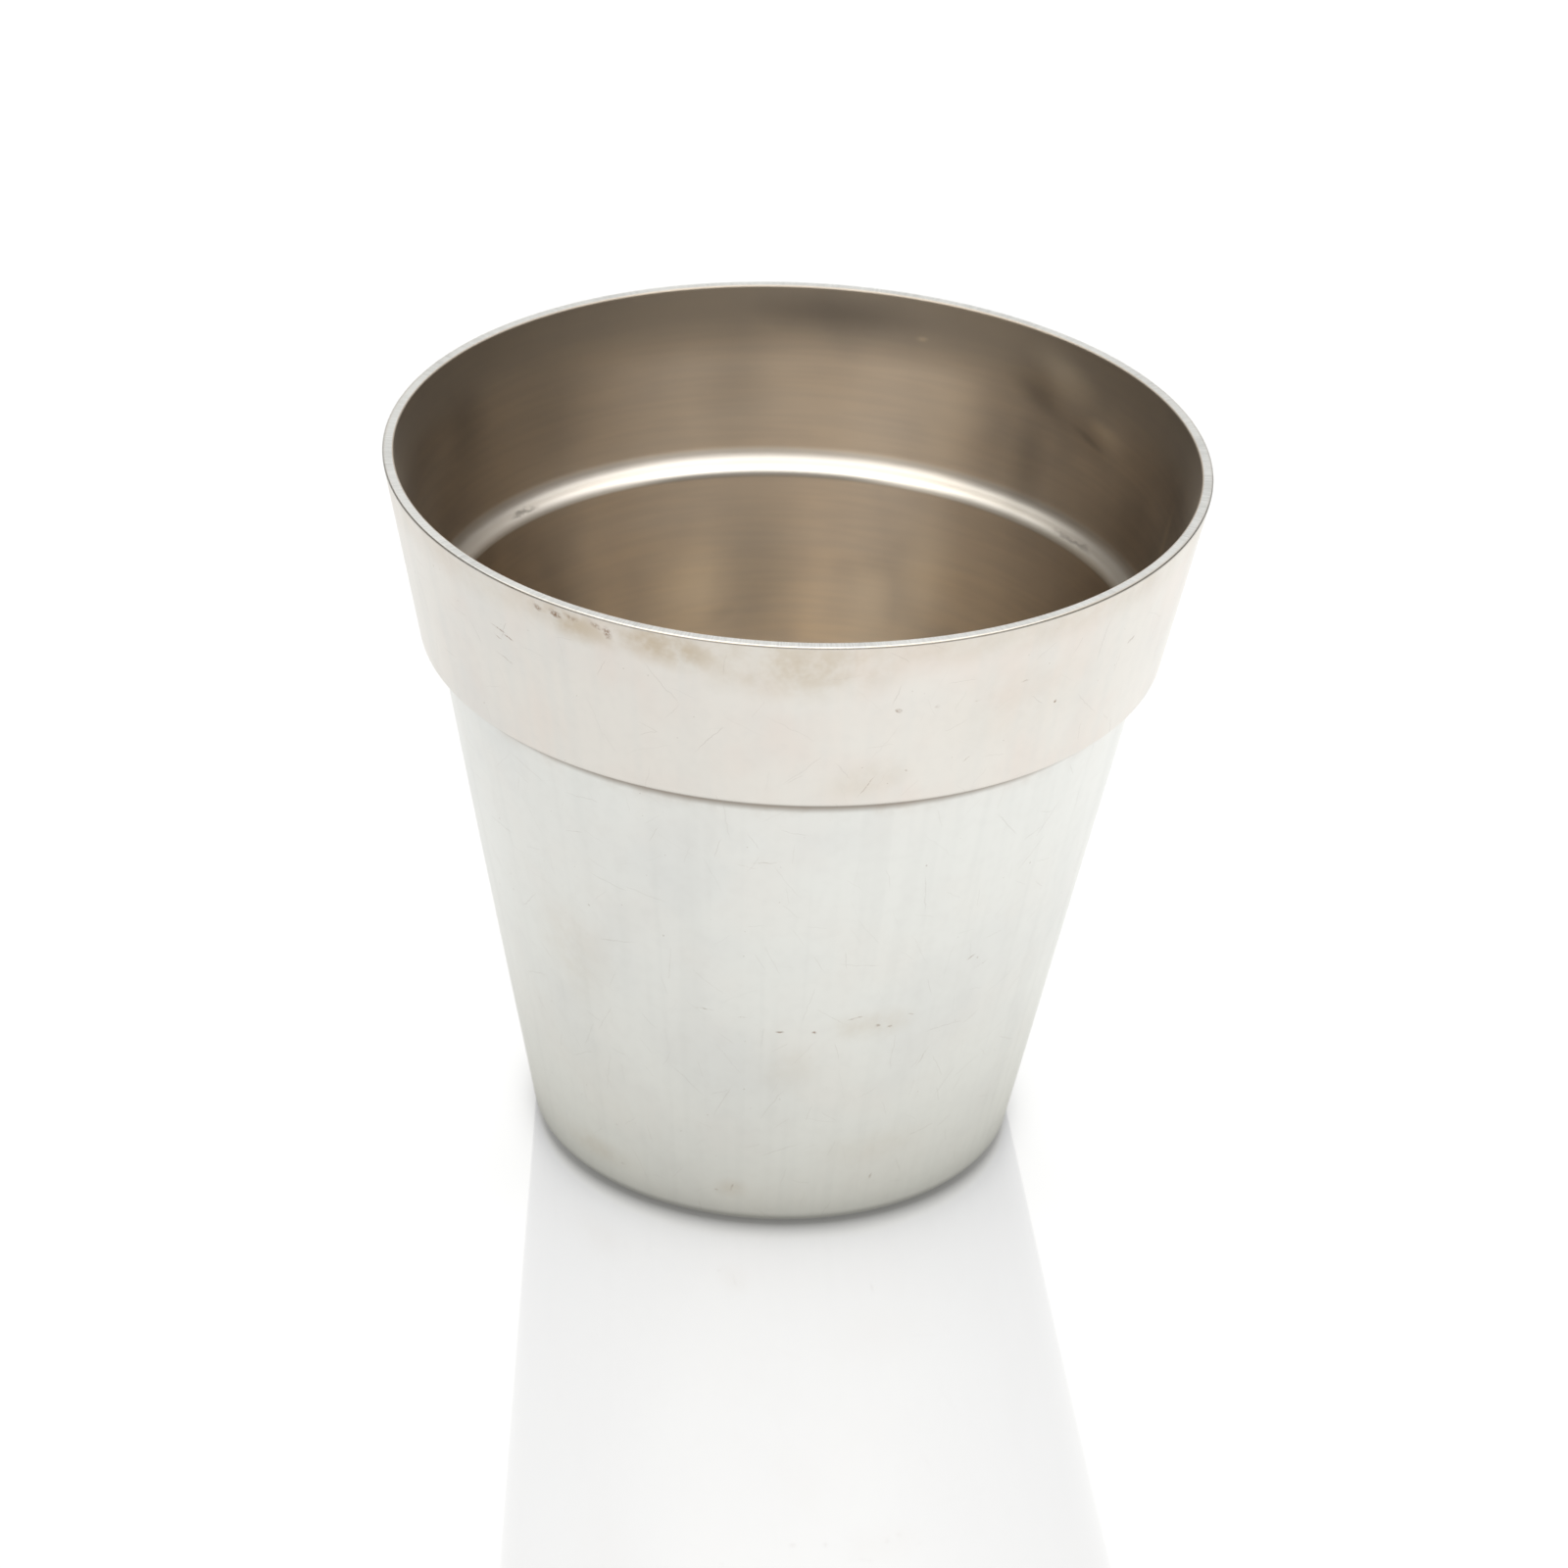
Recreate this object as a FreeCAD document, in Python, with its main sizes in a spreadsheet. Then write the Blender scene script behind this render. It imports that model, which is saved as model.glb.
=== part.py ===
import FreeCAD, Part
import math
import os

import Sketcher
from FreeCAD import Vector

# A flowerpot-shaped steel pot, drawn from one round blank of heavy sheet: a tapered body with
# its own bottom, stepped out to a flaring collar whose ground edge is the lip.
# The frame has its origin on the axis at the plane the pot stands on, with +Z up. Millimetres.

SIZES = {
    "rim_diameter": 110,          # outside, across the lip
    "pot_height": 100,            # from the standing plane to the lip
    "sheet_gauge": 1.5,           # wall, bottom and lip are one thickness
    "collar_height": 26,          # from the lip down to the collar's lower edge
    "collar_foot_diameter": 99.4,  # outside, at the collar's lower edge
    "step_width": 2.3,            # how far the collar overhangs the body
    "foot_diameter": 65.5,        # body cone produced down to the standing plane
    "foot_radius": 2.2,           # outside bend between body and bottom
    "dish_diameter": 54,          # raised middle of the bottom, at its lower edge
    "dish_depth": 0.8,            # how far that middle stands off the table
    "dish_ramp": 3,               # radial length of the slope up to it
    "collar_edge_radius": 1,      # outside bend at the collar's lower edge
    "collar_root_radius": 1,      # the same bend seen from inside
    "crease_radius": 0.3,         # outside corner where the collar meets the body
    "lip_break_radius": 0.25,     # edges of the ground lip
}

TOLERANCE = 1e-4


def fill_sheet(doc):
    """The driving dimensions, one alias to a cell."""
    sheet = doc.addObject("Spreadsheet::Sheet", "sizes")
    for row, (alias, value) in enumerate(SIZES.items(), start=1):
        sheet.set(f"A{row}", alias)
        sheet.set(f"B{row}", str(value))
        sheet.setAlias(f"B{row}", alias)
    doc.recompute()
    return sheet


def outside_form(doc, body):
    """Half of the pot's outside, as a closed outline from the axis round to the lip and back."""
    sketch = body.newObject("Sketcher::SketchObject", "outside_form")
    plane = next(f for f in body.Origin.OriginFeatures if f.Role == "XZ_Plane")
    sketch.AttachmentSupport = [(plane, "")]
    sketch.MapMode = "FlatFace"

    # each corner is its distance from the axis and its height, as expressions on the sheet
    corners = {
        "dish_centre": ("0", "sizes.dish_depth"),
        "dish_top": ("sizes.dish_diameter / 2 - sizes.dish_ramp", "sizes.dish_depth"),
        "dish_foot": ("sizes.dish_diameter / 2", "0"),
        "foot": ("sizes.foot_diameter / 2", "0"),
        "crease": ("sizes.collar_foot_diameter / 2 - sizes.step_width",
                   "sizes.pot_height - sizes.collar_height"),
        "collar_foot": ("sizes.collar_foot_diameter / 2",
                        "sizes.pot_height - sizes.collar_height"),
        "rim": ("sizes.rim_diameter / 2", "sizes.pot_height"),
        "rim_centre": ("0", "sizes.pot_height"),
    }
    places = [Vector(value_of(doc, x), value_of(doc, z), 0) for x, z in corners.values()]
    for start, end in zip(places, places[1:] + places[:1]):
        sketch.addGeometry(Part.LineSegment(start, end))
    count = len(places)
    for line in range(count):
        sketch.addConstraint(Sketcher.Constraint("Coincident", line, 2, (line + 1) % count, 1))
    for line, (name, (x, z)) in enumerate(corners.items()):
        place_corner(sketch, line, name + "_r", "X", x, places[line].x)
        place_corner(sketch, line, name + "_z", "Y", z, places[line].y)
    doc.recompute()
    return sketch


def value_of(doc, expression):
    """A sheet expression as a plain number of millimetres."""
    return float(doc.getObject("sizes").evalExpression(expression))


def place_corner(sketch, line, name, direction, expression, value):
    """Ties one coordinate of a line's start point to the sheet."""
    if expression == "0":
        # on the axis or on the standing plane
        axis = -2 if direction == "X" else -1
        sketch.addConstraint(Sketcher.Constraint("PointOnObject", line, 1, axis))
        return
    index = sketch.addConstraint(Sketcher.Constraint("Distance" + direction, line, 1, value))
    sketch.renameConstraint(index, name)
    sketch.setExpression(f"Constraints.{name}", expression)


def revolve(doc, body, sketch):
    """The outside turned about the upright axis, still solid."""
    form = body.newObject("PartDesign::Revolution", "solid_form")
    form.Profile = sketch
    form.ReferenceAxis = (sketch, ["V_Axis"])
    form.Angle = 360
    doc.recompute()
    return form


def hollow(doc, body, form):
    """Leaves one thickness of sheet under the outside, open at the top."""
    top = value_of(doc, "sizes.pot_height")
    mouth = [
        f"Face{number}"
        for number, face in enumerate(form.Shape.Faces, start=1)
        if abs(face.CenterOfMass.z - top) < TOLERANCE
    ]
    sheet_metal = body.newObject("PartDesign::Thickness", "sheet_metal")
    sheet_metal.Base = (form, mouth)
    sheet_metal.Join = "Intersection"
    sheet_metal.Reversed = True
    sheet_metal.setExpression("Value", "sizes.sheet_gauge")
    doc.recompute()
    return sheet_metal


def corner_edges(shape, near_z, near_r, reach):
    """Names of the round edges within reach of a circle of that height and radius."""
    return [
        f"Edge{number}"
        for number, edge in enumerate(shape.Edges, start=1)
        if isinstance(edge.Curve, Part.Circle)
        and math.hypot(edge.Curve.Center.z - near_z, edge.Curve.Radius - near_r) < reach
    ]


def round_corner(doc, body, base, name, near_z, near_r, radius):
    """A bend or broken edge at the one corner that lies nearest the given circle."""
    reach = value_of(doc, "sizes.sheet_gauge") / 2
    rounding = body.newObject("PartDesign::Fillet", name)
    rounding.Base = (base, corner_edges(base.Shape, value_of(doc, near_z), value_of(doc, near_r), reach))
    rounding.setExpression("Radius", radius)
    doc.recompute()
    return rounding


def pot_shell(doc):
    """The whole pot: one piece of sheet, drawn, stepped and trimmed."""
    body = doc.addObject("PartDesign::Body", "pot_shell")
    body.Label = "pot_shell"
    feature = hollow(doc, body, revolve(doc, body, outside_form(doc, body)))

    step = "sizes.pot_height - sizes.collar_height"
    gauge = "sizes.sheet_gauge"
    collar_r = "sizes.collar_foot_diameter / 2"
    body_r = f"{collar_r} - sizes.step_width"
    rim_r = "sizes.rim_diameter / 2"
    bends = [
        # name, height, distance from the axis, radius
        ("foot_outside", "0", "sizes.foot_diameter / 2", "sizes.foot_radius"),
        ("foot_inside", gauge, f"sizes.foot_diameter / 2 - {gauge}",
         f"sizes.foot_radius - {gauge}"),
        ("collar_edge", step, collar_r, "sizes.collar_edge_radius"),
        ("collar_root", f"{step} + {gauge}", f"{collar_r} - {gauge}", "sizes.collar_root_radius"),
        ("crease", step, body_r, "sizes.crease_radius"),
        ("ledge_round", f"{step} + {gauge}", f"{body_r} - {gauge}",
         f"sizes.crease_radius + {gauge}"),
        ("lip_outside", "sizes.pot_height", rim_r, "sizes.lip_break_radius"),
        ("lip_inside", "sizes.pot_height", f"{rim_r} - {gauge}", "sizes.lip_break_radius"),
    ]
    for name, height, distance, radius in bends:
        feature = round_corner(doc, body, feature, name, height, distance, radius)
    body.Placement = FreeCAD.Placement()
    return body


def check(doc, parts):
    """Stops before anything is written if a feature failed or a solid is not whole."""
    for thing in doc.Objects:
        if {"Invalid", "Error"} & set(thing.State):
            raise RuntimeError(f"{thing.Name} failed: {thing.State}")
    for part in parts:
        if part.Shape.isNull() or not part.Shape.isValid() or len(part.Shape.Solids) != 1:
            raise RuntimeError(f"{part.Label} is not one valid solid")


def main():
    os.makedirs("parts", exist_ok=True)
    doc = FreeCAD.newDocument("steel_pot")
    fill_sheet(doc)
    parts = [pot_shell(doc)]
    doc.recompute()
    check(doc, parts)
    for part in parts:
        part.Shape.exportStep(os.path.join("parts", part.Label + ".step"))
        box = part.Shape.BoundBox
        print(part.Label, "volume", round(part.Shape.Volume), "box", box)


main()
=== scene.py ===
import math

import bpy
import numpy as np
from mathutils import Matrix, Vector

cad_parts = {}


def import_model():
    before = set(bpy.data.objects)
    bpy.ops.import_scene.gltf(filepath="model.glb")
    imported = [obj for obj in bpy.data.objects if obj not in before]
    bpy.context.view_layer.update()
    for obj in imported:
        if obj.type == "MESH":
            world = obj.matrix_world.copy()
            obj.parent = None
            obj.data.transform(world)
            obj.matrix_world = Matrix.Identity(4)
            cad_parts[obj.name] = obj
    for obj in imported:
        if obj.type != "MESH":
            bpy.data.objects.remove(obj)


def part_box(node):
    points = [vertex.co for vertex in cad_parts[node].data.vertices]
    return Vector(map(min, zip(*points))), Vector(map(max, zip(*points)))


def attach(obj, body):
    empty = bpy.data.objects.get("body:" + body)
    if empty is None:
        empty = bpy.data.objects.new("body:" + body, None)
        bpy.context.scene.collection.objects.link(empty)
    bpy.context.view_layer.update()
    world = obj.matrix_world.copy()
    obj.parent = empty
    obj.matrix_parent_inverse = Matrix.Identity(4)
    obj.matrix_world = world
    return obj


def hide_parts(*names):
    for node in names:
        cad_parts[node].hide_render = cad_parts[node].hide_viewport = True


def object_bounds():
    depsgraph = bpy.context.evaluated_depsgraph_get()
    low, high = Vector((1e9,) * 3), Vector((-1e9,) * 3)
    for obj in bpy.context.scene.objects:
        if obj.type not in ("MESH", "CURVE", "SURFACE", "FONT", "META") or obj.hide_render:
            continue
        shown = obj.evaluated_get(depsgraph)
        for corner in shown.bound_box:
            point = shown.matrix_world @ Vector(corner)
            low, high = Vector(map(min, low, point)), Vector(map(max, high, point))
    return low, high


# The looks of a flowerpot-shaped steel pot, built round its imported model. Metres, +Z up.

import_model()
CAD_LOW, CAD_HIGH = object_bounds()

MM = 0.001
NODE = "pot_shell"

# ---------------------------------------------------------------- the sheet's outline

POT_LOW, POT_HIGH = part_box(NODE)
RIM_RADIUS = 55.0 * MM
HEIGHT = POT_HIGH.z - POT_LOW.z
GAUGE = 1.5 * MM
LEDGE_EDGE = 1.3 * MM
LEDGE_ROOT = 1.7 * MM
COLLAR_FOOT_Z = HEIGHT - 26.0 * MM
COLLAR_FOOT_RADIUS = 49.7 * MM
CREASE_RADIUS = COLLAR_FOOT_RADIUS - 2.3 * MM
FOOT_RADIUS = 32.75 * MM
DISH_RADIUS = 27.0 * MM
DISH_RAMP = 3.0 * MM
DISH_DEPTH = 0.8 * MM

DISH_BEND = 3.0 * MM
FOOT_BEND = 2.2 * MM
CREASE_BEND = 0.3 * MM
STEP_BEND = 1.0 * MM
LIP_BEND = 0.25 * MM
LEDGE_BEND = 1.3 * MM
INNER_FOOT_BEND = 0.7 * MM

# how finely the sheet is drawn: faces round it, longest face along it, faces of a bend, ring beside a bend
SEGMENTS = 540
LONGEST_STEP = 1.6 * MM
ARC_STEPS = 8
SUPPORT = 0.12 * MM


def slope(low, high):
    """Horizontal thickness of the sheet where its wall runs from low to high."""
    run, rise = high[0] - low[0], high[1] - low[1]
    return GAUGE * math.hypot(run, rise) / rise


# the number of the corner at the lip's outer edge
LIP_CORNER = 6


def corners():
    """The sheet's section from the axis, out under the pot, up, over the lip and back inside."""
    crease = (CREASE_RADIUS, COLLAR_FOOT_Z)
    foot = (FOOT_RADIUS, 0.0)
    rim = (RIM_RADIUS, HEIGHT)
    collar = (COLLAR_FOOT_RADIUS, COLLAR_FOOT_Z)
    body_wall = slope(foot, crease)
    collar_wall = slope(collar, rim)
    body_lean = (crease[0] - foot[0]) / (crease[1] - foot[1])
    collar_lean = (rim[0] - collar[0]) / (rim[1] - collar[1])
    return [
        # distance from the axis, height, bend radius
        (0.0, DISH_DEPTH, 0.0),
        (DISH_RADIUS - DISH_RAMP, DISH_DEPTH, DISH_BEND),
        (DISH_RADIUS, 0.0, DISH_BEND),
        (foot[0], foot[1], FOOT_BEND),
        (crease[0], crease[1], CREASE_BEND),
        (collar[0], collar[1], STEP_BEND),
        (rim[0], rim[1], LIP_BEND),
        (rim[0] - collar_wall, rim[1], LIP_BEND),
        (collar[0] - collar_wall + collar_lean * LEDGE_ROOT, collar[1] + LEDGE_ROOT, LEDGE_BEND),
        (crease[0] - body_wall + body_lean * LEDGE_EDGE, crease[1] + LEDGE_EDGE, LEDGE_BEND),
        (foot[0] - body_wall + body_lean * GAUGE, GAUGE, INNER_FOOT_BEND),
        (DISH_RADIUS, GAUGE, DISH_BEND),
        (DISH_RADIUS - DISH_RAMP, DISH_DEPTH + GAUGE, DISH_BEND),
        (0.0, DISH_DEPTH + GAUGE, 0.0),
    ]


def bend(before, corner, after, radius):
    """Points of the arc that rounds a corner."""
    p, a, b = (np.array(x[:2]) for x in (corner, before, after))
    u, v = (a - p) / np.linalg.norm(a - p), (b - p) / np.linalg.norm(b - p)
    half = math.acos(np.clip(u @ v, -1, 1)) / 2
    tangent = radius / math.tan(half)
    centre = p + (u + v) / np.linalg.norm(u + v) * radius / math.sin(half)
    start, end = p + u * tangent - centre, p + v * tangent - centre
    turn = math.acos(np.clip(start @ end / radius**2, -1, 1))
    points = []
    for i in range(ARC_STEPS + 1):
        t = i / ARC_STEPS
        weight_a, weight_b = math.sin((1 - t) * turn), math.sin(t * turn)
        points.append(centre + (start * weight_a + end * weight_b) / math.sin(turn))
    return points


def outline():
    """The rounded section, with the number of the corner that each point follows."""
    route = corners()
    arcs = [[np.array(route[0][:2])]]
    for before, corner, after in zip(route, route[1:], route[2:]):
        arcs.append(bend(before, corner, after, corner[2]))
    arcs.append([np.array(route[-1][:2])])
    points, zones = [], []
    for zone, (arc, following) in enumerate(zip(arcs, arcs[1:])):
        points += arc
        zones += [zone] * len(arc)
        start, end = arc[-1], following[0]
        length = np.linalg.norm(end - start)
        if length > 3 * SUPPORT:
            inner = length - 2 * SUPPORT
            count = max(1, math.ceil(inner / LONGEST_STEP))
            for i in range(count + 1):
                reach = SUPPORT + inner * i / count
                points.append(start + (end - start) * reach / length)
                zones.append(zone)
    points += arcs[-1]
    zones += [len(arcs) - 1] * len(arcs[-1])
    return np.array(points), np.array(zones)


# ---------------------------------------------------------------- dents and lumps

# waves of the wall: depth, number round the pot, start, twist per metre of height
WAVES = [
    (0.10 * MM, 2, 0.7, 0.0),
    (0.05 * MM, 3, 2.1, 30.0),
    (0.03 * MM, 5, 0.0, -90.0),
]
# the stiff foot stays round up to this height
STIFF_HEIGHT = 20 * MM

# degrees to the right of the front, height, half width, half height, lean in degrees, depth
DENTS = [
    (137.0, HEIGHT - 6.5 * MM, 5.5 * MM, 2.8 * MM, 23.0, 0.44 * MM),
    (126.5, HEIGHT - 9.8 * MM, 4.5 * MM, 2.0 * MM, 10.0, 0.36 * MM),
]


def bump(around, height, at_angle, at_height, wide, tall, lean):
    """A smooth hill of height 1 on the unrolled wall. lean tips its long axis."""
    da = (around - math.radians(at_angle) + math.pi) % (2 * math.pi) - math.pi
    across = da * RIM_RADIUS
    up = height - at_height
    c, s = math.cos(math.radians(lean)), math.sin(math.radians(lean))
    x, y = (c * across + s * up) / wide, (-s * across + c * up) / tall
    return np.exp(-(x**2 + y**2))


def wall_shift(around, height):
    """How far the sheet stands out from its turned form, in metres."""
    shift = np.zeros_like(around)
    for depth, count, start, twist in WAVES:
        shift += depth * np.cos(count * around + start + height * twist)
    shift *= np.clip(height / STIFF_HEIGHT, 0, 1) ** 2
    for turn, at_height, wide, tall, lean, depth in DENTS:
        shift -= depth * bump(around, height, turn - 90.0, at_height, wide, tall, lean)
    return shift


def pot_mesh():
    """The whole sheet as one closed turned mesh."""
    section, zones = outline()
    turn = np.linspace(0, 2 * math.pi, SEGMENTS, endpoint=False)
    body = section[1:-1]
    around = np.repeat(turn[None, :], len(body), axis=0)
    radius = np.repeat(body[:, :1], SEGMENTS, axis=1)
    height = np.repeat(body[:, 1:], SEGMENTS, axis=1)
    radius = radius + wall_shift(around, height)
    points = np.stack([radius * np.cos(around), radius * np.sin(around), height], axis=-1)
    verts = [tuple(p) for p in points.reshape(-1, 3)]
    under, floor = len(verts), len(verts) + 1
    verts += [(0, 0, section[0][1]), (0, 0, section[-1][1])]
    faces, tags = [], []
    for ring in range(len(body) - 1):
        low, high = ring * SEGMENTS, (ring + 1) * SEGMENTS
        for i in range(SEGMENTS):
            j = (i + 1) % SEGMENTS
            faces.append((low + i, low + j, high + j, high + i))
        tags += [zones[ring + 1]] * SEGMENTS
    last = (len(body) - 1) * SEGMENTS
    for i in range(SEGMENTS):
        j = (i + 1) % SEGMENTS
        faces.append((under, j, i))
        faces.append((floor, last + i, last + j))
    tags += [0, len(corners()) - 1] * SEGMENTS
    mesh = bpy.data.meshes.new("steel_pot")
    mesh.from_pydata(verts, [], faces)
    mesh.polygons.foreach_set("use_smooth", [True] * len(faces))
    mesh.update()
    return mesh, tags


# ---------------------------------------------------------------- node helpers

class Nodes:
    """Short ways to build a node tree."""

    def __init__(self, tree):
        self.tree = tree
        tree.nodes.clear()

    def add(self, kind, inputs=None, **settings):
        node = self.tree.nodes.new(kind)
        for name, value in settings.items():
            setattr(node, name, value)
        for key, value in (inputs or {}).items():
            self.give(node.inputs[key], value)
        return node

    def give(self, socket, value):
        if isinstance(value, bpy.types.NodeSocket):
            self.tree.links.new(value, socket)
        else:
            socket.default_value = value

    def math(self, operation, a, b=0.0, c=0.0, clamp=False):
        node = self.add("ShaderNodeMath", {0: a, 1: b, 2: c}, operation=operation, use_clamp=clamp)
        return node.outputs[0]

    def times(self, first, *others):
        for other in others:
            first = self.math("MULTIPLY", first, other)
        return first

    def plus(self, base, value, share):
        """The base, raised by a share of the value."""
        return self.math("MULTIPLY_ADD", value, share, base)

    def swayed(self, base, noise, share):
        """The base, raised where the noise is above its middle and lowered where it is below."""
        return self.plus(base, self.math("SUBTRACT", noise, 0.5), share)

    def fading(self, distance, reach):
        """1 at no distance, falling off steadily over the reach."""
        return self.math("EXPONENT", self.math("MULTIPLY", distance, -1.0 / reach))

    def span(self, value, low, high, to_low=0.0, to_high=1.0):
        """A smooth step between two values. low may be the greater one."""
        node = self.add(
            "ShaderNodeMapRange",
            {"Value": value, "From Min": low, "From Max": high, "To Min": to_low, "To Max": to_high},
            interpolation_type="SMOOTHSTEP",
        )
        return node.outputs["Result"]

    def near(self, value, middle, border, core):
        """1 within the core on both sides of a middle, 0 outside the border."""
        return self.span(self.math("ABSOLUTE", self.math("SUBTRACT", value, middle)), border, core)

    def vector(self, operation, a, b=(0, 0, 0)):
        node = self.add("ShaderNodeVectorMath", {0: a, 1: b}, operation=operation)
        return node.outputs["Value" if operation in ("LENGTH", "DOT_PRODUCT") else "Vector"]

    def scale(self, vector, factor):
        node = self.add("ShaderNodeVectorMath", {0: vector, 3: factor}, operation="SCALE")
        return node.outputs["Vector"]

    def noise(self, vector, detail, rough, seed):
        node = self.add(
            "ShaderNodeTexNoise",
            {"Vector": vector, "W": seed, "Scale": 1.0, "Detail": detail, "Roughness": rough},
            noise_dimensions="4D",
        )
        return node.outputs["Fac"]

    def mix(self, factor, a, b):
        node = self.add("ShaderNodeMix", data_type="RGBA")
        self.give(node.inputs["Factor"], factor)
        self.give(node.inputs["A"], a)
        self.give(node.inputs["B"], b)
        return node.outputs["Result"]

    def output(self, shader, kind="ShaderNodeOutputMaterial"):
        self.add(kind, {"Surface": shader})


def colour(r, g, b):
    return (r, g, b, 1.0)


def empty_material(name):
    """A new material and the builder of its node tree."""
    material = bpy.data.materials.new(name)
    material.use_nodes = True
    return material, Nodes(material.node_tree)


# ---------------------------------------------------------------- places on the pot

# the wall is unrolled at this radius
MEAN_RADIUS = 45.0 * MM
# how far and how finely the unrolled wall wobbles
WOBBLE = 0.6 * MM
WOBBLES_PER_METRE = 700.0

TO_THE_RIGHT = (1.0, 0.0, 0.0)
TO_THE_FRONT = (0.0, -1.0, 0.0)
UP = (0.0, 0.0, 1.0)


def wall_coordinates(n, from_back=False):
    """Places on the pot: the point, its outward direction, height, distance from the axis, unrolled wall.
    The unrolled wall runs to the camera's right from the pot's front, or from its back. It wobbles a
    little, so that whatever is drawn on it has ragged edges."""
    place = n.add("ShaderNodeTexCoord").outputs["Object"]
    parts = n.add("ShaderNodeSeparateXYZ", {0: place}).outputs
    flat = n.add("ShaderNodeCombineXYZ", {0: parts[0], 1: parts[1], 2: 0.0}).outputs[0]
    turn = n.math("ARCTAN2", parts[0], n.times(parts[1], 1.0 if from_back else -1.0))
    arc = n.times(turn, MEAN_RADIUS)
    unrolled = n.add("ShaderNodeCombineXYZ", {0: arc, 1: parts[2], 2: 0.0}).outputs[0]
    wobble = n.add("ShaderNodeTexNoise", {"Vector": place, "Scale": WOBBLES_PER_METRE, "Detail": 2.0})
    wobble = n.vector("SUBTRACT", wobble.outputs["Color"], (0.5, 0.5, 0.5))
    return {
        "place": place,
        "z": parts[2],
        "outward": n.vector("NORMALIZE", flat),
        "away": n.vector("LENGTH", flat),
        "unrolled": n.vector("ADD", unrolled, n.scale(wobble, WOBBLE)),
    }


def grain(n, at, per_metre, detail, rough, seed):
    """Noise with the same scale in all directions."""
    return n.noise(n.scale(at["place"], per_metre), detail, rough, seed)


def drawn_grain(n, at, round_scale, rise_scale, detail, rough, seed):
    """Noise with one scale round the pot and another along its section."""
    turned = n.scale(at["outward"], round_scale)
    along = n.math("ADD", at["z"], at["away"])
    up = n.add("ShaderNodeCombineXYZ", {2: n.times(along, rise_scale)}).outputs[0]
    return n.noise(n.vector("ADD", turned, up), detail, rough, seed)


def mark(n, at, turn, height, half_wide, half_tall, lean, core):
    """1 inside a soft-edged oval on the unrolled wall, 0 outside."""
    where = (math.radians(turn) * MEAN_RADIUS, height, 0.0)
    local = n.add(
        "ShaderNodeMapping",
        {"Vector": at["unrolled"], "Location": where, "Rotation": (0, 0, math.radians(lean)),
         "Scale": (half_wide, half_tall, 1.0)},
        vector_type="TEXTURE",
    )
    return n.span(n.vector("LENGTH", local.outputs[0]), 1.0, core)


def marks(n, at, ovals):
    """A whole table of ovals as one mask."""
    total = 0.0
    for *oval, strength in ovals:
        total = n.math("MAXIMUM", total, n.times(mark(n, at, *oval), strength))
    return total


def scattered(n, at, cell, share, seed):
    """One random place per cell of the unrolled wall: offset from it, its random numbers, kept or not."""
    moved = n.vector("ADD", at["unrolled"], (seed, seed, 0.0))
    cells = n.add("ShaderNodeTexVoronoi", {"Vector": moved, "Scale": 1.0 / cell}, voronoi_dimensions="2D")
    chance = n.add("ShaderNodeSeparateColor", {0: cells.outputs["Color"]}).outputs
    offset = n.vector("SUBTRACT", moved, cells.outputs["Position"])
    kept = n.math("GREATER_THAN", chance[0], 1.0 - share)
    return offset, chance, kept


# a scratch's half length and where it starts to thin out, and its bend, in cells
SCRATCH_END = 0.42
SCRATCH_THINS = 0.2
SCRATCH_BEND = 0.25


def hairlines(n, at, cell, width, share, seed):
    """Short, slightly bent scratches lying in all directions."""
    offset, chance, kept = scattered(n, at, cell, share, seed)
    swing = n.times(chance[1], 2 * math.pi)
    turned = n.add("ShaderNodeVectorRotate", {"Vector": offset, "Angle": swing}, rotation_type="Z_AXIS")
    parts = n.add("ShaderNodeSeparateXYZ", {0: turned.outputs[0]}).outputs
    along = n.math("ABSOLUTE", parts[0])
    bow = n.times(parts[0], parts[0], n.math("SUBTRACT", chance[2], 0.5))
    across = n.math("ABSOLUTE", n.plus(parts[1], bow, SCRATCH_BEND / cell))
    line = n.times(n.span(across, width, 0.0), n.span(along, SCRATCH_END * cell, SCRATCH_THINS * cell))
    return n.times(line, kept, chance[2])


# the smallest pit's share of the largest, and the share of a pit that is fully dark
LEAST_PIT = 0.4
PIT_CORE = 0.4


def pits(n, at, cell, size, share, seed):
    """Small round pits."""
    offset, chance, kept = scattered(n, at, cell, share, seed)
    reach = n.plus(LEAST_PIT * size, chance[1], (1.0 - LEAST_PIT) * size)
    dot = n.span(n.math("DIVIDE", n.vector("LENGTH", offset), reach), 1.0, PIT_CORE)
    return n.times(dot, kept)


# ---------------------------------------------------------------- where the marks are

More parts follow.
